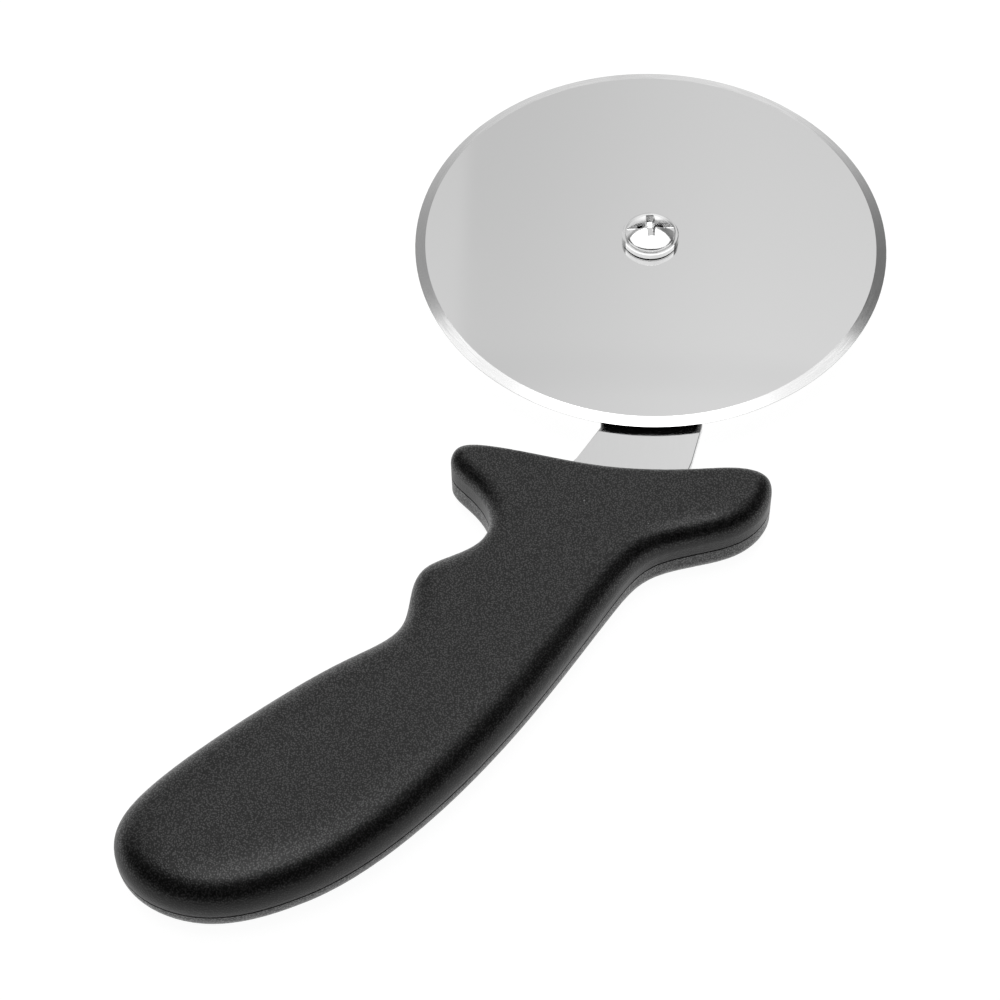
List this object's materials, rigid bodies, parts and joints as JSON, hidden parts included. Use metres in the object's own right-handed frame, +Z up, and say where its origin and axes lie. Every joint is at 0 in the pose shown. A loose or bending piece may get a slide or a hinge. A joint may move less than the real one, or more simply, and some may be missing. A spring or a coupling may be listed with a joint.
{
  "type": "pizza cutter wheel",
  "caption": "Hand-held pizza cutter: a large bevelled steel wheel on a plate shank, turning freely in front of a flat, finger-notched, textured black handle.",
  "frame": {"origin": "the middle of the underside of the whole part's box, on the surface it lies on", "axes": "+Z up from the surface it lies on, +Y from the handle towards the wheel, +X to the right seen from above with the wheel away from the viewer"},
  "size_m": [0.1448, 0.2162, 0.0157],
  "materials": {
    "blade_steel": "mirror-polished stainless steel with a ground, matt bevel",
    "plate_steel": "fine satin stainless steel",
    "screw_steel": "polished stainless steel",
    "fastener_steel": "plain zinc-grey steel",
    "handle_black": "fine moulded grain, low sheen"
  },
  "bodies": {
    "handle": {"handle_upper_shell": "handle_black", "handle_lower_shell": "handle_black", "shank": "plate_steel", "spacer_washer": "fastener_steel", "wheel_bush": "screw_steel", "axle_screw": "screw_steel", "lock_washer": "fastener_steel", "hex_nut": "fastener_steel"},
    "wheel": {"wheel_blade": "blade_steel"}
  },
  "joints": [
    {"name": "wheel_spin", "type": "hinge", "parent": "handle", "child": "wheel", "pos_m": [0.02161, 0.05735, 0.01], "axis": [0, 0, 1], "continuous": true}
  ]
}
